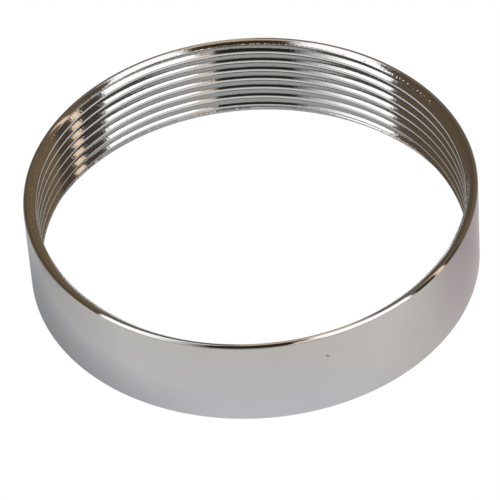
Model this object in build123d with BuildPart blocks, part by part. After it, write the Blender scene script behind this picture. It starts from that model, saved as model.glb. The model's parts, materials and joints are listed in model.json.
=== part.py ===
"""Tap clamping ring: a short, thin-walled, chrome-plated brass ring with a fine thread in its bore.

The ring stands on its foot. The origin is the centre of the foot, +Z is the ring's axis and points to the
polished rim. All sizes are in millimetres.
"""

import os
from math import ceil, radians, tan

from build123d import *

# Thread in the bore: ISO metric form, right-hand, one start
thread_major_diameter = 36.0
thread_pitch = 1.0
thread_flank_angle = 30.0
# Height of the groove's middle at +X, where the thread enters from below the foot
thread_start = -0.623

# Ring
wall_outside_thread = 0.5
height = 8.0

# Rim: one full round that runs on into the bevel at the mouth of the bore, which breaks the first thread
rim_radius = 0.27
mouth_bevel_slope = 45.0

# Foot of the bore: the lead-in that centres the ring on the mating thread
lead_in_height = 1.2
lead_in_angle = 30.0

# Outer edge of the foot, eased by polishing before plating
foot_edge_radius = 0.08

# The thread form follows from its pitch: crests and roots are cut back from a sharp triangle
sharp_thread_height = thread_pitch / 2 / tan(radians(thread_flank_angle))
thread_depth = 5 / 8 * sharp_thread_height
thread_root_flat = thread_pitch / 8
# The cutting tool reaches this far inside the crests, so that it leaves the bore cleanly
tool_overreach = 0.1

major_radius = thread_major_diameter / 2
bore_radius = major_radius - thread_depth
outer_radius = major_radius + wall_outside_thread
tool_radius = bore_radius - tool_overreach

lead_in_radius = bore_radius + lead_in_height * tan(radians(lead_in_angle))

groove_half_root = thread_root_flat / 2
groove_half_mouth = groove_half_root + (major_radius - tool_radius) * tan(radians(thread_flank_angle))
half_pitch = thread_pitch / 2
quarter_turn = 90.0
half_turns = ceil((height + groove_half_mouth - thread_start) / half_pitch)

with BuildPart() as clamping_ring:
    # Turned ring: one section carried round the axis
    with BuildSketch(Plane.XZ):
        with BuildLine():
            foot_edge = CenterArc(
                (outer_radius - foot_edge_radius, foot_edge_radius),
                foot_edge_radius,
                -quarter_turn,
                quarter_turn,
            )
            rim = CenterArc(
                (outer_radius - rim_radius, height - rim_radius),
                rim_radius,
                0,
                quarter_turn + mouth_bevel_slope,
            )
            Line(foot_edge @ 1, rim @ 0)
            mouth = rim @ 1
            mouth_bevel_height = (mouth.X - bore_radius) * tan(radians(mouth_bevel_slope))
            Polyline(
                mouth,
                (bore_radius, mouth.Y - mouth_bevel_height),
                (bore_radius, lead_in_height),
                (lead_in_radius, 0),
                foot_edge @ 0,
            )
        make_face()
    revolve(axis=Axis.Z)

    # Thread: one V-groove that climbs the bore and runs out through the lead-in and the rim
    half_turn = Helix(thread_pitch, half_pitch, bore_radius, center=(0, 0, thread_start), mode=Mode.PRIVATE)
    thread_path = Wire(
        [
            half_turn.moved(Location((0, 0, n * half_pitch), (0, 0, n * 2 * quarter_turn)))
            for n in range(half_turns)
        ]
    )
    with BuildSketch(Plane.XZ):
        with BuildLine():
            Polyline(
                (tool_radius, thread_start - groove_half_mouth),
                (major_radius, thread_start - groove_half_root),
                (major_radius, thread_start + groove_half_root),
                (tool_radius, thread_start + groove_half_mouth),
                close=True,
            )
        make_face()
    sweep(path=thread_path, is_frenet=True, clean=False, mode=Mode.SUBTRACT)

clamping_ring.part.label = "clamping_ring"

os.makedirs("parts", exist_ok=True)
export_step(clamping_ring.part, "parts/clamping_ring.step")
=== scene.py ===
"""Tap clamping ring: the looks of a short, chrome-plated brass ring with a fine thread in its bore.

The ring follows one rule, a thread that climbs the bore of a turned section, so a Geometry Nodes tree
makes it. All sizes are in metres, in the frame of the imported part: the origin is the centre of the ring's
foot and +Z is its axis. The camera looks along +Y, so the back of the ring is at +Y and its right side at
+X.
"""

import json
import logging
import math
from dataclasses import dataclass, field
from enum import Enum
from typing import Any, Callable, Union

import bpy
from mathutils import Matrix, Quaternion, Vector


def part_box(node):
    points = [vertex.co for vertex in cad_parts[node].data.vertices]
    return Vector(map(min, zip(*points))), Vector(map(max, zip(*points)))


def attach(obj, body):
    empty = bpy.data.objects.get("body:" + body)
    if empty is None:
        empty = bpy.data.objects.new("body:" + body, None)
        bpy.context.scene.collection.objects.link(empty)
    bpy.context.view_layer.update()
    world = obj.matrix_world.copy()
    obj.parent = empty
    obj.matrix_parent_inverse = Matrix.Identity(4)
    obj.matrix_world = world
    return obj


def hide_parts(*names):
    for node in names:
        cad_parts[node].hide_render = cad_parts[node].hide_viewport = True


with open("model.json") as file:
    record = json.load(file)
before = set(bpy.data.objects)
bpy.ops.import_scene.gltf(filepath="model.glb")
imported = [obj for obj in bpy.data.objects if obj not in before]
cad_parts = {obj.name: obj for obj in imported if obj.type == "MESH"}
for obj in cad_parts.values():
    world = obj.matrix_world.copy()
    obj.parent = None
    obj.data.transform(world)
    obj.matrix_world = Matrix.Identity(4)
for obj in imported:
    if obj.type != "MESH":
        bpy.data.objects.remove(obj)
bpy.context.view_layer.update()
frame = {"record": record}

MM = 0.001
WEAR = "worn_edge"
TOOLED = "tooled"
COVER = "cover"
# Points this near are sewn into one where two bands meet, and a row this near the mouth lies on it
SEAM = 0.001 * MM
MOUTH_SLACK = 0.0005 * MM
# The Mix node has sockets for each type of value, and these are the places of the colours
MIX_LOW = 6
MIX_HIGH = 7
MIX_RESULT = 2
log = logging.getLogger("clamping_ring")

Socket = bpy.types.NodeSocket
Term = Union[float, Socket]
Spot = tuple[Term, Term, Term]
Section = Callable[[Socket, Socket], Spot]
Colour = tuple[float, float, float, float]


class Sum(Enum):
    """The arithmetic that the node trees use, by the name of the Math node's operation."""

    PLUS = "ADD"
    MINUS = "SUBTRACT"
    TIMES = "MULTIPLY"
    OVER = "DIVIDE"
    LEAST = "MINIMUM"
    MOST = "MAXIMUM"
    SOFT_MOST = "SMOOTH_MAX"
    SWING = "PINGPONG"
    ABOVE = "GREATER_THAN"
    BELOW = "LESS_THAN"
    COSINE = "COSINE"
    SINE = "SINE"
    POWER = "POWER"
    SQUARE_ROOT = "SQRT"
    APART = "ABSOLUTE"


class NodeSheet:
    """A node tree that is being drawn, with short calls for the nodes that repeat."""

    def __init__(self, tree: bpy.types.NodeTree) -> None:
        """Takes the tree that the nodes go into."""
        self.tree = tree

    def node(self, kind: str, **settings: Any) -> bpy.types.Node:
        """Adds one node.

        Args:
            kind: Blender's name for the node's type.
            settings: The node's properties, by name.

        Returns:
            The new node.
        """
        made = self.tree.nodes.new(kind)
        for name, value in settings.items():
            setattr(made, name, value)
        return made

    def feed(self, socket: Socket, value: Any) -> None:
        """Gives an input its value, or links it where the value is another socket.

        Args:
            socket: The input.
            value: A constant or an output socket.
        """
        if isinstance(value, Socket):
            self.tree.links.new(value, socket)
        else:
            socket.default_value = value

    def filled(
        self, kind: str, inputs: dict[Union[str, int], Any], **settings: Any
    ) -> bpy.types.Node:
        """Adds one node and feeds its inputs.

        Args:
            kind: Blender's name for the node's type.
            inputs: The values or sockets of its inputs, by the inputs' names or places.
            settings: The node's properties, by name.

        Returns:
            The new node.
        """
        made = self.node(kind, **settings)
        for name, value in inputs.items():
            self.feed(made.inputs[name], value)
        return made

    def sum(self, operation: Sum, *terms: Term) -> Socket:
        """Adds one Math node.

        Args:
            operation: What it does.
            terms: Its inputs, in order.

        Returns:
            Its result.
        """
        made = self.node("ShaderNodeMath", operation=operation.value)
        for socket, term in zip(made.inputs, terms):
            self.feed(socket, term)
        return made.outputs[0]

    def ramp(self, value: Term, start: Term, end: Term, low: Term = 0.0, high: Term = 1.0) -> Socket:
        """A value that goes from low to high while another goes from start to end.

        Args:
            value: The value that is followed.
            start: Where the ramp starts.
            end: Where it ends.
            low: The result before the start.
            high: The result after the end.

        Returns:
            The result.
        """
        ends = {"From Min": start, "From Max": end, "To Min": low, "To Max": high}
        made = self.filled("ShaderNodeMapRange", {"Value": value, **ends})
        return made.outputs["Result"]

    def mix(self, share: Term, low: Term, high: Term) -> Socket:
        """The value that lies a share of the way, 0 to 1, from low to high."""
        return self.ramp(share, 0.0, 1.0, low, high)

    def blend(self, share: Term, low: Any, high: Any) -> Socket:
        """The colour that lies a share of the way from low to high.

        Args:
            share: 0 for low, 1 for high.
            low: The first colour.
            high: The second colour.

        Returns:
            The colour between them.
        """
        made = self.node("ShaderNodeMix", data_type="RGBA")
        self.feed(made.inputs["Factor"], share)
        self.feed(made.inputs[MIX_LOW], low)
        self.feed(made.inputs[MIX_HIGH], high)
        return made.outputs[MIX_RESULT]


@dataclass(frozen=True)
class ChromePlate:
    """Bright chrome over polished brass, with the fine marks of tools, of polishing and of handling."""

    reflectance: Colour = (0.47, 0.47, 0.475, 1.0)
    cloudy_reflectance: Colour = (0.45, 0.445, 0.44, 1.0)
    tooled_reflectance: Colour = (0.51, 0.51, 0.505, 1.0)
    worn_reflectance: Colour = (0.62, 0.58, 0.52, 1.0)
    pit_colour: Colour = (0.06, 0.05, 0.045, 1.0)
    polish: float = 0.035
    dullest: float = 0.09
    worn_roughness: float = 0.14
    tooled_roughness: float = 0.06
    wall_relief: float = 0.03
    tooled_relief: float = 0.15
    relief_height: float = 0.02 * MM
    cloud_scale: float = 260.0
    cloud_range: tuple[float, float] = (0.5, 0.9)
    hairline_turn: tuple[float, float, float] = (0.3, 0.2, 0.5)
    hairline_scale: tuple[float, float, float] = (400.0, 9000.0, 2500.0)
    hairline_range: tuple[float, float] = (0.58, 0.72)
    tool_mark_scale: tuple[float, float, float] = (4200.0, 4200.0, 900.0)
    spot_scale: float = 3600.0
    spot_range: tuple[float, float] = (0.47, 0.58)
    nick_scale: float = 5200.0
    nick_depth: float = 0.09 * MM
    pit_bearing: float = math.radians(16.0)
    pit_slant: float = math.radians(35.0)
    pit_size: tuple[float, float, float] = (0.24 * MM, 0.3 * MM, 0.07 * MM)
    pit_core: float = 0.5

    def dress(self, outer_radius: float, pit_height: float) -> bpy.types.Material:
        """Builds the material.

        Args:
            outer_radius: The radius of the wall.
            pit_height: The height of the small pit in it.

        Returns:
            The chrome material.
        """
        material = bpy.data.materials.new("bright_chrome")
        material.use_nodes = True
        sheet = NodeSheet(material.node_tree)
        shader = material.node_tree.nodes["Principled BSDF"]
        shader.inputs["Metallic"].default_value = 1.0
        place = sheet.node("ShaderNodeTexCoord").outputs["Object"]
        tooled = sheet.node("ShaderNodeAttribute", attribute_name=TOOLED).outputs["Fac"]
        pit = self.pit(sheet, place, outer_radius, pit_height)
        worn = self.worn(sheet, place)
        cloud = self.noise(sheet, place, self.cloud_scale, detail=3.0)
        sound = sheet.blend(tooled, self.tint(sheet, cloud), self.tooled_reflectance)
        plated = sheet.blend(worn, sound, self.worn_reflectance)
        sheet.feed(shader.inputs["Base Color"], sheet.blend(pit, plated, self.pit_colour))
        polished = sheet.mix(self.hairlines(sheet, place), self.polish, self.dullest)
        dulled = sheet.mix(tooled, polished, self.tooled_roughness)
        rough = sheet.mix(sheet.sum(Sum.MOST, worn, pit), dulled, self.worn_roughness)
        sheet.feed(shader.inputs["Roughness"], rough)
        relief = sheet.filled(
            "ShaderNodeBump",
            {
                "Strength": sheet.mix(tooled, self.wall_relief, self.tooled_relief),
                "Distance": self.relief_height,
                "Height": self.tool_marks(sheet, place),
            },
        )
        nicks = sheet.filled(
            "ShaderNodeBump",
            {
                "Strength": worn,
                "Distance": self.nick_depth,
                "Height": self.noise(sheet, place, self.nick_scale),
                "Normal": relief.outputs["Normal"],
            },
        )
        sheet.feed(shader.inputs["Normal"], nicks.outputs["Normal"])
        return material

    def noise(
        self, sheet: NodeSheet, place: Socket, scale: float = 1.0, detail: float = 1.0
    ) -> Socket:
        """A cloudy pattern on the ring's own coordinates.

        Args:
            sheet: The material's tree.
            place: The coordinates.
            scale: Clouds in one unit of the coordinates.
            detail: How many finer layers it has.

        Returns:
            The pattern, about 0 to 1.
        """
        made = sheet.filled("ShaderNodeTexNoise", {"Vector": place, "Scale": scale, "Detail": detail})
        return made.outputs["Fac"]

    def tint(self, sheet: NodeSheet, cloud: Socket) -> Socket:
        """The plate's colour, a little darker in patches.

        Args:
            sheet: The material's tree.
            cloud: The pattern of the patches.

        Returns:
            The colour.
        """
        ramp = sheet.filled("ShaderNodeValToRGB", {"Fac": cloud})
        bright, cloudy = ramp.color_ramp.elements
        bright.position, cloudy.position = self.cloud_range
        bright.color = self.reflectance
        cloudy.color = self.cloudy_reflectance
        return ramp.outputs["Color"]

    def hairlines(self, sheet: NodeSheet, place: Socket) -> Socket:
        """Hair-fine scratches, stretched along the way that the ring is wiped.

        Args:
            sheet: The material's tree.
            place: The coordinates.

        Returns:
            0 on clean plate and 1 in a scratch.
        """
        stretched = sheet.filled(
            "ShaderNodeMapping",
            {"Vector": place, "Rotation": self.hairline_turn, "Scale": self.hairline_scale},
        )
        streaks = self.noise(sheet, stretched.outputs["Vector"], detail=2.0)
        return sheet.ramp(streaks, *self.hairline_range)

    def tool_marks(self, sheet: NodeSheet, place: Socket) -> Socket:
        """The short marks across the thread that the cutting tool left.

        Args:
            sheet: The material's tree.
            place: The coordinates.

        Returns:
            The marks' height, about 0 to 1.
        """
        stretched = sheet.filled("ShaderNodeMapping", {"Vector": place, "Scale": self.tool_mark_scale})
        return self.noise(sheet, stretched.outputs["Vector"])

    def worn(self, sheet: NodeSheet, place: Socket) -> Socket:
        """The rubbed spots along the edges of the mouth, of its bevel and of the lead-in.

        Args:
            sheet: The material's tree.
            place: The coordinates.

        Returns:
            0 on sound plate and 1 where it is rubbed.
        """
        edge = sheet.node("ShaderNodeAttribute", attribute_name=WEAR).outputs["Fac"]
        spots = sheet.ramp(self.noise(sheet, place, self.spot_scale), *self.spot_range)
        return sheet.sum(Sum.TIMES, edge, spots)

    def pit(
        self, sheet: NodeSheet, place: Socket, outer_radius: float, pit_height: float
    ) -> Socket:
        """The small slanting pit in the front of the wall.

        Args:
            sheet: The material's tree.
            place: The coordinates.
            outer_radius: The radius of the wall.
            pit_height: The pit's height.

        Returns:
            1 in the pit and 0 outside it.
        """
        centre = (
            outer_radius * math.sin(self.pit_bearing),
            -outer_radius * math.cos(self.pit_bearing),
            pit_height,
        )
        local = sheet.filled(
            "ShaderNodeMapping",
            {
                "Vector": place,
                "Location": centre,
                "Rotation": (0.0, self.pit_slant, self.pit_bearing),
                "Scale": self.pit_size,
            },
            vector_type="TEXTURE",
        )
        away = sheet.filled("ShaderNodeVectorMath", {0: local.outputs["Vector"]}, operation="LENGTH")
        return sheet.ramp(away.outputs["Value"], self.pit_core, 1.0, 1.0, 0.0)


@dataclass(frozen=True)
class Glow:
    """A plain even light, from a lamp or from a wall of the room, that fades out at a panel's sides."""

    name: str
    colour: Colour
    strength: float = 1.0

    def dress(self) -> bpy.types.Material:
        """Builds the material.

        Returns:
            The glowing material, which is clear where the panel's cover is 0.
        """
        material = bpy.data.materials.new(self.name)
        material.use_nodes = True
        sheet = NodeSheet(material.node_tree)
        tree = material.node_tree
        tree.nodes.remove(tree.nodes["Principled BSDF"])
        light = sheet.filled("ShaderNodeEmission", {"Color": self.colour, "Strength": self.strength})
        clear = sheet.node("ShaderNodeBsdfTransparent")
        cover = sheet.node("ShaderNodeAttribute", attribute_name=COVER)
        blend = sheet.filled("ShaderNodeMixShader", {"Fac": cover.outputs["Fac"]})
        sheet.feed(blend.inputs[1], clear.outputs["BSDF"])
        sheet.feed(blend.inputs[2], light.outputs["Emission"])
        sheet.feed(tree.nodes["Material Output"].inputs["Surface"], blend.outputs["Shader"])
        return material


@dataclass(frozen=True)
class LitPaper:
    """The white paper that the ring stands on. It looks white, and the chrome mirrors its painted shading
    and painted tints of light.
    """

    white: Colour = (1.0, 1.0, 1.0, 1.0)
    # Painted tints of light on the paper, which only the chrome's reflections show
    near_light_tint: Colour = (0.97, 0.995, 1.04, 1.0)
    far_light_tint: Colour = (1.0, 0.955, 0.885, 1.0)
    right_light_tint: Colour = (1.04, 0.99, 0.945, 1.0)
    rosy_light_tint: Colour = (1.0, 0.885, 0.885, 1.0)
    # Painted shade on the paper inside the ring, under its two sides
    inside_shade_colour: Colour = (0.20, 0.165, 0.135, 1.0)
    ring_radius: float = 18.5 * MM
    wall: float = 1.0 * MM
    far_radius: float = 26.0 * MM
    right_from: float = 4.0 * MM
    right_full: float = 13.0 * MM
    rosy_from: float = -11.5 * MM
    rosy_full: float = -7.5 * MM
    lit_from: float = -17.0 * MM
    dim_from: float = -2.0 * MM
    dimmest: float = 0.55
    shadow_depth: float = 0.44
    shadow_width: float = 3.0 * MM
    shadow_from: float = -4.0 * MM
    shadow_full: float = -17.5 * MM
    enclosed_from: float = 8.0 * MM
    enclosed_full: float = 11.5 * MM
    enclosed_light: float = 1.1

    def dress(self) -> bpy.types.Material:
        """Builds the material.

        Returns:
            The paper's material.
        """
        material = bpy.data.materials.new("white_paper")
        material.use_nodes = True
        sheet = NodeSheet(material.node_tree)
        tree = material.node_tree
        tree.nodes.remove(tree.nodes["Principled BSDF"])
        place = sheet.node("ShaderNodeTexCoord").outputs["Object"]
        across = sheet.filled("ShaderNodeSeparateXYZ", {"Vector": place})
        from_axis = sheet.filled("ShaderNodeVectorMath", {0: place}, operation="LENGTH").outputs["Value"]
        seen = sheet.node("ShaderNodeLightPath").outputs["Is Camera Ray"]
        inside = sheet.sum(Sum.BELOW, from_axis, self.ring_radius - self.wall)
        sideways = across.outputs["X"]
        ahead = across.outputs["Y"]
        # Painted tints of light outside the ring and painted shade inside it, seen only in the chrome
        outside = self.tint(sheet, sideways, ahead, from_axis)
        tint = sheet.blend(inside, outside, self.inside_shade(sheet, sideways))
        shade = sheet.mix(inside, self.shade(sheet, sideways, ahead, from_axis), self.enclosed_light)
        light = sheet.filled(
            "ShaderNodeEmission",
            {"Color": sheet.blend(seen, tint, self.white), "Strength": sheet.mix(seen, shade, 1.0)},
        )
        sheet.feed(tree.nodes["Material Output"].inputs["Surface"], light.outputs["Emission"])
        return material

    def tint(
        self, sheet: NodeSheet, sideways: Socket, ahead: Socket, from_axis: Socket
    ) -> Socket:
        """Painted tints of light outside the ring: cool by its foot, warm further out and rosy on the right.

        Args:
            sheet: The material's tree.
            sideways: The place along X.
            ahead: The place along Y.
            from_axis: The distance from the ring's axis.

        Returns:
            The colour.
        """
        out = sheet.ramp(from_axis, self.ring_radius, self.far_radius)
        front = sheet.blend(out, self.near_light_tint, self.far_light_tint)
        rosy = sheet.ramp(ahead, self.rosy_from, self.rosy_full)
        beside = sheet.blend(rosy, self.right_light_tint, self.rosy_light_tint)
        right = sheet.ramp(sideways, self.right_from, self.right_full)
        return sheet.blend(right, front, beside)

    def inside_shade(self, sheet: NodeSheet, sideways: Socket) -> Socket:
        """Painted shade on the paper inside the ring: dark under its two sides and white between.

        Args:
            sheet: The material's tree.
            sideways: The place along X.

        Returns:
            The colour.
        """
        aside = sheet.sum(Sum.APART, sideways)
        dim = sheet.ramp(aside, self.enclosed_from, self.enclosed_full)
        return sheet.blend(dim, self.white, self.inside_shade_colour)

    def shade(
        self, sheet: NodeSheet, sideways: Socket, ahead: Socket, from_axis: Socket
    ) -> Socket:
        """The paper's brightness: full in front, dimmer beside the ring, in soft shadow on the left.

        Args:
            sheet: The material's tree.
            sideways: The place along X.
            ahead: The place along Y.
            from_axis: The distance from the ring's axis.

        Returns:
            The brightness.
        """
        along = sheet.ramp(ahead, self.lit_from, self.dim_from, 1.0, self.dimmest)
        left = sheet.ramp(sideways, self.shadow_from, self.shadow_full)
        shadow_end = self.ring_radius + self.shadow_width
        close = sheet.ramp(from_axis, self.ring_radius, shadow_end, self.shadow_depth, 0.0)
        shadow = sheet.sum(Sum.TIMES, left, close)
        return sheet.sum(Sum.TIMES, along, sheet.sum(Sum.MINUS, 1.0, shadow))


class RingTree(NodeSheet):
    """The Geometry Nodes tree that turns the ring's sizes into its surface.

    The surface is a row of bands that follow one another round the section: up the bore, over the rim,
    down the wall and under the foot. Each band is a grid whose columns go round the axis.
    """

    def __init__(self, sizes: dict[str, float], columns: int, rows_per_pitch: int) -> None:
        """Opens an empty tree.

        Args:
            sizes: The tree's inputs, by name.
            columns: Steps round the axis.
            rows_per_pitch: Rows of the bore's band in one pitch of the thread.
        """
        super().__init__(bpy.data.node_groups.new("turned_threaded_ring", "GeometryNodeTree"))
        self.columns = columns
        self.rows_per_pitch = rows_per_pitch
        face = self.tree.interface
        face.new_socket("Geometry", in_out="OUTPUT", socket_type="NodeSocketGeometry")
        self.identifiers: dict[str, str] = {}
        for name in sizes:
            socket = face.new_socket(name, in_out="INPUT", socket_type="NodeSocketFloat")
            self.identifiers[name] = socket.identifier
        entry = self.node("NodeGroupInput")
        self.size = {name: entry.outputs[name] for name in sizes}

    def band(self, rows: int, section: Section, tooled: float = 0.0) -> Socket:
        """One band of the surface.

        Args:
            rows: Steps along the section.
            section: Gives the radius, the height and the wear at a place on the band, from the turn, 0 to 1
                round the axis, and the share of the way along the section.
            tooled: 1 where the thread tool left its marks under the plate.

        Returns:
            The band's geometry.
        """
        grid = self.filled(
            "GeometryNodeMeshGrid",
            {"Size X": 1.0, "Size Y": 1.0, "Vertices X": self.columns + 1, "Vertices Y": rows + 1},
        )
        on_grid = self.node("GeometryNodeInputPosition").outputs["Position"]
        flat = self.filled("ShaderNodeSeparateXYZ", {"Vector": on_grid})
        turn = self.sum(Sum.PLUS, flat.outputs["X"], 0.5)
        share = self.sum(Sum.PLUS, flat.outputs["Y"], 0.5)
        radius, level, worn = section(turn, share)
        angle = self.sum(Sum.TIMES, turn, math.tau)
        point = self.filled(
            "ShaderNodeCombineXYZ",
            {
                "X": self.sum(Sum.TIMES, radius, self.sum(Sum.COSINE, angle)),
                "Y": self.sum(Sum.TIMES, radius, self.sum(Sum.SINE, angle)),
                "Z": level,
            },
        )
        marked = self.stored(self.stored(grid.outputs["Mesh"], WEAR, worn), TOOLED, tooled)
        placed = self.filled(
            "GeometryNodeSetPosition", {"Geometry": marked, "Position": point.outputs["Vector"]}
        )
        return placed.outputs["Geometry"]

    def stored(self, surface: Socket, name: str, value: Term) -> Socket:
        """Writes a value on the points of a surface, for the plate to read.

        Args:
            surface: The geometry.
            name: The attribute's name.
            value: The value.

        Returns:
            The geometry with the attribute.
        """
        made = self.filled(
            "GeometryNodeStoreNamedAttribute",
            {"Geometry": surface, "Name": name, "Value": value},
            data_type="FLOAT",
            domain="POINT",
        )
        return made.outputs["Geometry"]

    def eased(self, share: Socket) -> Socket:
        """Moves a band's rows towards its two ends, so that the edges there keep their faces flat."""
        swing = self.sum(Sum.COSINE, self.sum(Sum.TIMES, share, math.pi))
        return self.sum(Sum.MINUS, 0.5, self.sum(Sum.TIMES, swing, 0.5))

    def chatter(self, turn: Socket) -> Socket:
        """The small unevenness that the bevelling tool left round the mouth.

        Args:
            turn: The place round the axis, 0 to 1.

        Returns:
            How far the bevel stands outwards there.
        """
        angle = self.sum(Sum.TIMES, turn, math.tau)
        spot = self.filled(
            "ShaderNodeCombineXYZ",
            {"X": self.sum(Sum.COSINE, angle), "Y": self.sum(Sum.SINE, angle)},
        )
        pattern = self.filled(
            "ShaderNodeTexNoise",
            {
                "Vector": spot.outputs["Vector"],
                "W": self.size["Chatter Seed"],
                "Scale": self.size["Chatter Count"],
                "Detail": 1.0,
            },
            noise_dimensions="4D",
        )
        either_way = self.sum(Sum.MINUS, pattern.outputs[0], 0.5)
        return self.sum(Sum.TIMES, either_way, self.size["Chatter Depth"])

    def mouth(self, turn: Socket) -> Socket:
        """The radius of the mouth of the bore, which is cut a little off the axis, towards -Y.

        Args:
            turn: The place round the axis, 0 to 1.

        Returns:
            The radius there.
        """
        sine = self.sum(Sum.SINE, self.sum(Sum.TIMES, turn, math.tau))
        shift = self.sum(Sum.TIMES, sine, self.size["Mouth Offset"])
        return self.sum(Sum.MINUS, self.size["Mouth Radius"], shift)

    def bore_radius(self, turn: Socket, level: Term) -> tuple[Term, Term]:
        """The bore's radius: the thread, or the bevel or the lead-in where that is wider.

        Args:
            turn: The place round the axis, 0 to 1.
            level: The height.

        Returns:
            The radius there, and how near the place is to a worn edge, 0 to 1.
        """
        size = self.size
        climbed = self.sum(Sum.OVER, self.sum(Sum.MINUS, level, size["Thread Start"]), size["Pitch"])
        from_groove = self.sum(Sum.SWING, self.sum(Sum.MINUS, climbed, turn), 0.5)
        to_crest = self.sum(Sum.MINUS, size["Crest Edge"], from_groove)
        flank = self.sum(Sum.TIMES, to_crest, size["Flank Fall"])
        aside = self.sum(Sum.TIMES, from_groove, size["Pitch"])
        root = size["Root Radius"]
        squares = self.sum(Sum.MINUS, self.sum(Sum.TIMES, root, root), self.sum(Sum.TIMES, aside, aside))
        hollow = self.sum(Sum.SQUARE_ROOT, self.sum(Sum.MOST, squares, 0.0))
        arched = self.sum(Sum.PLUS, size["Root Centre"], hollow)
        rooted = self.mix(self.sum(Sum.BELOW, aside, size["Root Reach"]), flank, arched)
        groove = self.sum(Sum.SOFT_MOST, rooted, 0.0, size["Crest Softness"])
        thread = self.sum(Sum.PLUS, size["Crest Radius"], groove)
        mouth = self.mouth(turn)
        above_mouth = self.sum(Sum.MINUS, level, size["Mouth Height"])
        cone = self.sum(Sum.PLUS, mouth, self.sum(Sum.TIMES, above_mouth, size["Mouth Spread"]))
        below_mouth = self.ramp(level, size["Mouth Height"], size["Chatter Height"])
        uneven = self.sum(Sum.TIMES, self.chatter(turn), below_mouth)
        bevel = self.sum(Sum.PLUS, cone, uneven)
        lead_in = self.sum(
            Sum.MINUS, size["Lead-in Radius"], self.sum(Sum.TIMES, level, size["Lead-in Spread"])
        )
        opened = self.sum(Sum.SOFT_MOST, thread, bevel, size["Edge Softness"])
        widest = self.sum(Sum.SOFT_MOST, opened, lead_in, size["Edge Softness"])
        at_mouth = self.sum(Sum.ABOVE, above_mouth, -MOUTH_SLACK)
        broken = self.sum(Sum.MOST, self.near(thread, bevel), self.near(opened, lead_in))
        worn = self.sum(Sum.MOST, self.near(above_mouth, 0.0), broken)
        return self.mix(at_mouth, widest, mouth), worn

    def near(self, one: Term, other: Term) -> Socket:
        """How close two lengths are, 1 where they are equal and 0 from the wear's width on."""
        apart = self.sum(Sum.APART, self.sum(Sum.MINUS, one, other))
        return self.ramp(apart, 0.0, self.size["Wear Width"], 1.0, 0.0)

    def bore(self, rows: int) -> Socket:
        """The threaded bore. Its rows climb with the thread and end on the foot and on the rim.

        Args:
            rows: Steps along the section.

        Returns:
            The band's geometry.
        """

        def section(turn: Socket, share: Socket) -> Spot:
            """The bore at one place.

            Args:
                turn: The place round the axis, 0 to 1.
                share: The share of the way up the band.

            Returns:
                The radius, the height and the wear.
            """
            pitches = self.sum(Sum.TIMES, share, rows / self.rows_per_pitch)
            climbed = self.sum(Sum.PLUS, self.sum(Sum.MINUS, pitches, 1.0), turn)
            helix = self.sum(
                Sum.PLUS, self.size["Thread Start"], self.sum(Sum.TIMES, climbed, self.size["Pitch"])
            )
            level = self.sum(Sum.LEAST, self.sum(Sum.MOST, helix, 0.0), self.size["Mouth Height"])
            radius, worn = self.bore_radius(turn, level)
            return radius, level, worn

        return self.band(rows, section, tooled=1.0)

    def arc(
        self, rows: int, radius: Term, centre: tuple[Term, Term], start: Term, end: Term
    ) -> Socket:
        """A rounded edge.

        Args:
            rows: Steps along the section.
            radius: The edge's radius.
            centre: The radius and height of its centre.
            start: The angle that it starts at, from outwards up.
            end: The angle that it ends at.

        Returns:
            The band's geometry.
        """

        def section(turn: Socket, share: Socket) -> Spot:
            """The edge at one place.

            Args:
                turn: The place round the axis, which makes no difference.
                share: The share of the way along the edge.

            Returns:
                The radius, the height and the wear.
            """
            angle = self.mix(share, start, end)
            outwards = self.sum(Sum.TIMES, radius, self.sum(Sum.COSINE, angle))
            upwards = self.sum(Sum.TIMES, radius, self.sum(Sum.SINE, angle))
            return self.sum(Sum.PLUS, centre[0], outwards), self.sum(Sum.PLUS, centre[1], upwards), 0.0

        return self.band(rows, section)

    def lip(self, rows: int, top: Term) -> Socket:
        """The sloping lip of the rim, from the mouth of the bore to the rim's highest line.

        Args:
            rows: Steps along the section.
            top: The radius of the highest line.

        Returns:
            The band's geometry.
        """
        size = self.size

        def section(turn: Socket, share: Socket) -> Spot:
            """The lip at one place.

            Args:
                turn: The place round the axis, 0 to 1.
                share: The share of the way from the mouth to the highest line.

            Returns:
                The radius, the height and the wear.
            """
            fallen = self.sum(Sum.POWER, self.sum(Sum.MINUS, 1.0, share), size["Lip Bend"])
            level = self.mix(fallen, size["Height"], size["Mouth Height"])
            return self.mix(share, self.mouth(turn), top), level, 0.0

        return self.band(rows, section)

    def skin(self, rows: int) -> list[Socket]:
        """The rim, the wall and the foot, with their two rounded edges.

        Args:
            rows: Steps along each band.

        Returns:
            The bands' geometries.
        """
        size = self.size
        rim = size["Rim Radius"]
        foot_edge = size["Foot Edge Radius"]
        rim_centre = (
            self.sum(Sum.MINUS, size["Outer Radius"], rim),
            self.sum(Sum.MINUS, size["Height"], rim),
        )
        foot_centre = (self.sum(Sum.MINUS, size["Outer Radius"], foot_edge), foot_edge)

        def wall(turn: Socket, share: Socket) -> Spot:
            """The straight wall, from the rim down."""
            return size["Outer Radius"], self.mix(self.eased(share), rim_centre[1], foot_edge), 0.0

        def foot(turn: Socket, share: Socket) -> Spot:
            """The flat foot, from the wall inwards."""
            inner, _ = self.bore_radius(turn, 0.0)
            return self.mix(self.eased(share), foot_centre[0], inner), 0.0, 0.0

        return [
            self.lip(rows, rim_centre[0]),
            self.arc(rows, rim, rim_centre, math.pi / 2, 0.0),
            self.band(rows, wall),
            self.arc(rows, foot_edge, foot_centre, 0.0, -math.pi / 2),
            self.band(rows, foot),
        ]

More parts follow.
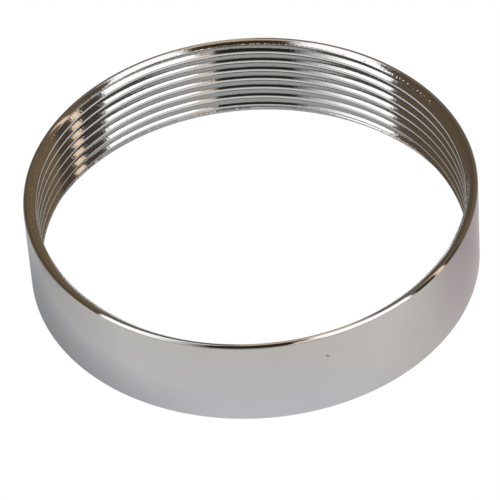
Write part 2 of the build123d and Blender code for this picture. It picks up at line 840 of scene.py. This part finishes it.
    def close(self, bands: list[Socket], plate: bpy.types.Material, sharp_from: float) -> None:
        """Joins the bands into one closed surface and ends the tree.

        Args:
            bands: The bands' geometries, in order round the section.
            plate: The ring's material.
            sharp_from: The angle between two faces from which their edge stays crisp.
        """
        joined = self.node("GeometryNodeJoinGeometry")
        for band in bands:
            self.tree.links.new(band, joined.inputs[0])
        sewn = self.filled(
            "GeometryNodeMergeByDistance", {"Geometry": joined.outputs[0], "Distance": SEAM}
        )
        outwards = self.filled("GeometryNodeFlipFaces", {"Mesh": sewn.outputs[0]})
        smooth = self.filled(
            "GeometryNodeSetShadeSmooth", {"Geometry": outwards.outputs[0], "Shade Smooth": True}
        )
        bend = self.node("GeometryNodeInputMeshEdgeAngle").outputs["Unsigned Angle"]
        crisp = self.filled(
            "GeometryNodeSetShadeSmooth",
            {
                "Geometry": smooth.outputs[0],
                "Selection": self.sum(Sum.ABOVE, bend, sharp_from),
                "Shade Smooth": False,
            },
            domain="EDGE",
        )
        real = self.filled("GeometryNodeRealizeInstances", {"Geometry": crisp.outputs[0]})
        dressed = self.filled(
            "GeometryNodeSetMaterial", {"Geometry": real.outputs[0], "Material": plate}
        )
        self.feed(self.node("NodeGroupOutput").inputs[0], dressed.outputs[0])


@dataclass
class ClampingRing:
    """The object's one piece: a turned ring with a right-hand thread in its bore.

    The outer radius, the height and the radius of the thread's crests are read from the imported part. The
    other fields are the sizes of its section, how finely it is divided and its finish.
    """

    outer_radius: float
    height: float
    crest_radius: float
    pitch: float = 1.0 * MM
    thread_start: float = -0.623 * MM
    flank_angle: float = math.radians(30.0)
    # From the groove's middle to the edge of the crest, as a share of the pitch
    crest_edge: float = 3 / 8
    # The root's radius, as a share of the height of a sharp thread
    root_share: float = 1 / 8
    crest_softness: float = 0.22 * MM
    edge_softness: float = 0.05 * MM
    lip_width: float = 0.42 * MM
    lip_fall: float = 0.08 * MM
    lip_bend: float = 1.6
    mouth_offset: float = 0.17 * MM
    wear_width: float = 0.08 * MM
    rim_radius: float = 0.27 * MM
    mouth_bevel_slope: float = math.radians(45.0)
    chatter_depth: float = 0.015 * MM
    chatter_fade: float = 0.1 * MM
    chatter_count: float = 60.0
    chatter_seed: float = 3.0
    lead_in_height: float = 1.2 * MM
    lead_in_angle: float = math.radians(30.0)
    foot_edge_radius: float = 0.08 * MM
    pit_height: float = 5.8 * MM
    columns: int = 288
    rows_per_pitch: int = 32
    skin_rows: int = 12
    sharp_from: float = math.radians(40.0)
    plate: ChromePlate = field(default_factory=ChromePlate)

    def tree_sizes(self) -> dict[str, float]:
        """The sizes that the ring's tree takes.

        Returns:
            The inputs' values, by name.
        """
        sharp_height = self.pitch / 2 / math.tan(self.flank_angle)
        flank_fall = 2 * sharp_height
        root_radius = self.root_share * sharp_height
        mouth_height = self.height - self.lip_fall
        lead_in_spread = math.tan(self.lead_in_angle)
        return {
            "Outer Radius": self.outer_radius,
            "Height": self.height,
            "Crest Radius": self.crest_radius,
            "Pitch": self.pitch,
            "Thread Start": self.thread_start,
            "Crest Edge": self.crest_edge,
            "Flank Fall": flank_fall,
            "Crest Softness": self.crest_softness,
            "Edge Softness": self.edge_softness,
            "Root Radius": root_radius,
            "Root Reach": root_radius * math.cos(self.flank_angle),
            "Root Centre": self.crest_edge * flank_fall - root_radius / math.sin(self.flank_angle),
            "Lip Bend": self.lip_bend,
            "Wear Width": self.wear_width,
            "Rim Radius": self.rim_radius,
            "Mouth Radius": self.outer_radius - self.rim_radius - self.lip_width,
            "Mouth Offset": self.mouth_offset,
            "Mouth Height": mouth_height,
            "Mouth Spread": 1 / math.tan(self.mouth_bevel_slope),
            "Chatter Height": mouth_height - self.chatter_fade,
            "Chatter Depth": self.chatter_depth,
            "Chatter Count": self.chatter_count,
            "Chatter Seed": self.chatter_seed,
            "Lead-in Radius": self.crest_radius + self.lead_in_height * lead_in_spread,
            "Lead-in Spread": lead_in_spread,
            "Foot Edge Radius": self.foot_edge_radius,
        }

    def build(self) -> bpy.types.Object:
        """Makes the ring's mesh from its tree.

        Returns:
            The ring, with its material.
        """
        sizes = self.tree_sizes()
        tree = RingTree(sizes, self.columns, self.rows_per_pitch)
        pitches = math.ceil((self.height - self.thread_start) / self.pitch) + 1
        bands = [tree.bore(pitches * self.rows_per_pitch), *tree.skin(self.skin_rows)]
        tree.close(bands, self.plate.dress(self.outer_radius, self.pit_height), self.sharp_from)
        ring = bpy.data.objects.new("plated_ring", bpy.data.meshes.new("plated_ring_blank"))
        bpy.context.scene.collection.objects.link(ring)
        maker = ring.modifiers.new("turned_threaded_ring", "NODES")
        maker.node_group = tree.tree
        for name, identifier in tree.identifiers.items():
            maker[identifier] = sizes[name]
        ready = ring.evaluated_get(bpy.context.evaluated_depsgraph_get())
        mesh = bpy.data.meshes.new_from_object(ready)
        ring.modifiers.remove(maker)
        ring.data = mesh
        ring.data.materials.pop(index=0)
        return ring

    def place(self) -> bpy.types.Object:
        """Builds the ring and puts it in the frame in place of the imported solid.

        Returns:
            The ring.
        """
        ring = self.build()
        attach(ring, "root")
        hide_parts("clamping_ring")
        return ring


@dataclass
class Viewpoint:
    """The camera, at the place that the ring's two ellipses give. Its lens and sensor are in millimetres."""

    circle_height: float = 7.872 * MM
    distance: float = 341.18 * MM
    elevation: float = math.radians(42.957)
    roll: float = math.radians(4.277)
    drop: float = 5.081 * MM
    lens: float = 302.5
    sensor: float = 36.0
    nearest: float = 10.0 * MM

    @property
    def towards(self) -> Vector:
        """The direction from the ring to the camera."""
        return Vector((0, -math.cos(self.elevation), math.sin(self.elevation)))

    def mirrored(self, bearing: float, lean: float) -> Vector:
        """The direction that a patch of chrome shows to the camera.

        Args:
            bearing: Where the patch's normal leans to, in degrees from the front, positive to the right.
            lean: How far it leans from upright, in degrees.

        Returns:
            The direction, of length 1.
        """
        turn = math.radians(bearing)
        tilt = math.radians(lean)
        aside = math.sin(tilt)
        normal = Vector((aside * math.sin(turn), -aside * math.cos(turn), math.cos(tilt)))
        return 2 * normal.dot(self.towards) * normal - self.towards

    def build(self) -> bpy.types.Object:
        """Makes the camera and gives it to the scene.

        Returns:
            The camera.
        """
        centre = Vector((0, 0, self.circle_height))
        upright = Vector((0, math.sin(self.elevation), math.cos(self.elevation)))
        sideways = Vector((1, 0, 0))
        top = upright * math.cos(self.roll) + sideways * math.sin(self.roll)
        spot = centre + self.towards * self.distance
        aim = centre - top * self.drop
        data = bpy.data.cameras.new("camera")
        data.lens = self.lens
        data.sensor_width = self.sensor
        data.clip_start = self.nearest
        camera = bpy.data.objects.new("camera", data)
        camera.location = spot
        straight = (aim - spot).to_track_quat("-Z", "Y")
        camera.rotation_mode = "QUATERNION"
        camera.rotation_quaternion = straight @ Quaternion((0, 0, 1), -self.roll)
        bpy.context.scene.collection.objects.link(camera)
        bpy.context.scene.camera = camera
        return camera


@dataclass
class Panel:
    """A lamp panel or a piece of the room, seen only in the ring's reflections.

    Its four sides are given by the chrome that mirrors it: the bearings and the leans, in degrees, of the
    normals there. The bearings are those at the lesser lean. By the greater lean the two sides have moved
    by their slants. Each side fades out over its own width, also in degrees.
    """

    light: Glow
    bearings: tuple[float, float]
    leans: tuple[float, float]
    slants: tuple[float, float] = (0.0, 0.0)
    fades: tuple[float, float] = (0.0, 0.0)
    reach: float = 1.5
    steps: int = 24

    def build(self, view: Viewpoint) -> bpy.types.Object:
        """Makes the panel.

        Args:
            view: The camera that its reflection is seen from.

        Returns:
            The panel, which is part of the stage.
        """
        shares = [step / self.steps for step in range(self.steps + 1)]
        points: list[Vector] = []
        covers: list[float] = []
        for along in shares:
            lean = self.between(self.leans, along)
            sides = tuple(side + slant * along for side, slant in zip(self.bearings, self.slants))
            for across in shares:
                bearing = self.between(sides, across)
                points.append(view.mirrored(bearing, lean) * self.reach)
                covers.append(self.cover(sides, bearing))
        row = self.steps + 1
        corners = [along * row + across for along in range(self.steps) for across in range(self.steps)]
        faces = [(corner, corner + 1, corner + row + 1, corner + row) for corner in corners]
        mesh = bpy.data.meshes.new(self.light.name)
        mesh.from_pydata(points, [], faces)
        mesh.attributes.new(COVER, "FLOAT", "POINT").data.foreach_set("value", covers)
        mesh.materials.append(self.light.dress())
        panel = bpy.data.objects.new(self.light.name, mesh)
        panel.visible_camera = False
        bpy.context.scene.collection.objects.link(panel)
        return panel

    def cover(self, sides: tuple[float, ...], bearing: float) -> float:
        """How solid the panel is at a bearing.

        Args:
            sides: The bearings of its two sides there.
            bearing: The place between them.

        Returns:
            0 at a side that fades, 1 from the fade's width on.
        """
        depths = (bearing - sides[0], sides[1] - bearing)
        return min([1.0, *(depth / fade for depth, fade in zip(depths, self.fades) if fade)])

    @staticmethod
    def between(ends: tuple[float, ...], share: float) -> float:
        """The value that lies a share of the way between two ends."""
        return ends[0] + (ends[1] - ends[0]) * share


@dataclass
class Studio:
    """The pale floor, the lamp panels and the dim room that the chrome mirrors."""

    view: Viewpoint
    floor_size: float = 3.0
    wall_reach: float = 1.7
    lamp_reach: float = 1.4
    strip_reach: float = 1.35
    lamp_white: Colour = (1.0, 1.0, 0.985, 1.0)
    lamp_strength: float = 2.1
    paper: LitPaper = LitPaper()
    room: Colour = (0.15, 0.12, 0.09, 1.0)

    def panels(self) -> list[Panel]:
        """The lamps and the pieces of the room that stand out in the chrome.

        Returns:
            The panels: the walls first, and then what stands before them.
        """
        far = self.wall_reach
        near = self.lamp_reach
        nearest = self.strip_reach
        brown = Glow("brown_wall", (0.25, 0.18, 0.105, 1.0))
        brown_low = Glow("brown_skirting", (0.45, 0.35, 0.26, 1.0))
        dim = Glow("dim_wall", (0.17, 0.125, 0.08, 1.0))
        dim_low = Glow("dim_skirting", (0.48, 0.42, 0.36, 1.0))
        grey = Glow("grey_wall", (0.45, 0.43, 0.38, 1.0))
        olive = Glow("olive_wall", (0.24, 0.22, 0.165, 1.0))
        tan = Glow("tan_wall", (0.95, 0.74, 0.58, 1.0))
        gold = Glow("gold_strip", (1.55, 1.20, 0.88, 1.0))
        frame_bar = Glow("dark_frame", (0.09, 0.07, 0.055, 1.0))
        curtain = Glow("dark_curtain", (0.11, 0.08, 0.06, 1.0))
        shade = Glow("brown_shade", (0.08, 0.045, 0.018, 1.0))
        gap = Glow("dark_gap", (0.03, 0.027, 0.02, 1.0))
        rosy = Glow("rosy_strip", (0.85, 0.71, 0.63, 1.0))
        cream = Glow("cream_strip", (1.5, 1.26, 1.02, 1.0))
        right_lamp = Glow("right_lamp", self.lamp_white, self.lamp_strength)
        left_lamp = Glow("left_lamp", self.lamp_white, self.lamp_strength)
        return [
            Panel(brown, (43, 138), (0, 54), reach=far),
            Panel(brown_low, (43, 125), (54, 66), reach=far),
            Panel(dim, (-138, -43), (0, 54), reach=far),
            Panel(dim_low, (-125, -43), (54, 66), reach=far),
            Panel(grey, (-43, 43), (40, 66), reach=far),
            Panel(olive, (138, 222), (0, 21), reach=far),
            Panel(tan, (174, 206), (0, 21), fades=(2, 6)),
            Panel(curtain, (55, 64), (22, 66), fades=(0, 3)),
            Panel(gold, (50.3, 55), (4, 66), fades=(1, 1)),
            Panel(frame_bar, (43, 50.3), (22, 66)),
            Panel(tan, (-20, 20), (0, 5.5)),
            Panel(shade, (-16, 17), (5.5, 24)),
            Panel(gap, (-24, 12), (24, 52)),
            Panel(right_lamp, (10, 28), (3, 12), slants=(2, 10), fades=(3, 1.5), reach=near),
            Panel(right_lamp, (12, 42), (12, 60), slants=(-7, 0), fades=(4, 1.5), reach=near),
            Panel(left_lamp, (-30, -9), (3, 12), slants=(-11, -3), fades=(1.5, 4), reach=near),
            Panel(left_lamp, (-44, -13), (12, 60), fades=(1.5, 17), reach=near),
            Panel(rosy, (7.5, 13.5), (24, 36), fades=(1, 2), reach=nearest),
            Panel(cream, (9, 18), (38, 60), fades=(0, 5), reach=nearest),
        ]

    def build(self) -> list[bpy.types.Object]:
        """Makes everything round the ring.

        Returns:
            The stage's objects.
        """
        bpy.context.scene.view_settings.view_transform = "Standard"
        self.surround()
        return [self.floor(), *(panel.build(self.view) for panel in self.panels())]

    def floor(self) -> bpy.types.Object:
        """Makes the floor.

        Returns:
            The floor, which is part of the stage.
        """
        half = self.floor_size / 2
        mesh = bpy.data.meshes.new("floor")
        mesh.from_pydata(
            [(-half, -half, 0), (half, -half, 0), (half, half, 0), (-half, half, 0)], [], [(0, 1, 2, 3)]
        )
        mesh.materials.append(self.paper.dress())
        floor = bpy.data.objects.new("floor", mesh)
        bpy.context.scene.collection.objects.link(floor)
        return floor

    def surround(self) -> None:
        """Gives the world the room's dim colour, and white where the camera looks past the floor."""
        world = bpy.data.worlds.new("room")
        world.use_nodes = True
        bpy.context.scene.world = world
        sheet = NodeSheet(world.node_tree)
        seen = sheet.node("ShaderNodeLightPath").outputs["Is Camera Ray"]
        background = world.node_tree.nodes["Background"]
        sheet.feed(background.inputs["Color"], sheet.blend(seen, self.room, self.paper.white))


def main() -> None:
    """Builds the ring, the studio and the camera."""
    logging.basicConfig(level=logging.INFO, format="%(name)s: %(message)s")
    low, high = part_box("clamping_ring")
    thread = next(mount for mount in frame["record"]["mounts"] if mount["name"] == "thread")
    ring = ClampingRing(
        outer_radius=(high.x - low.x) / 2,
        height=high.z - low.z,
        crest_radius=thread["dims"]["r_mm"] * MM,
    )
    piece = ring.place()
    log.info("%s: %d vertices, %d faces", piece.name, len(piece.data.vertices), len(piece.data.polygons))
    view = Viewpoint()
    view.build()
    for prop in Studio(view).build():
        log.info("stage: %s", prop.name)


if __name__ == "__main__":
    main()
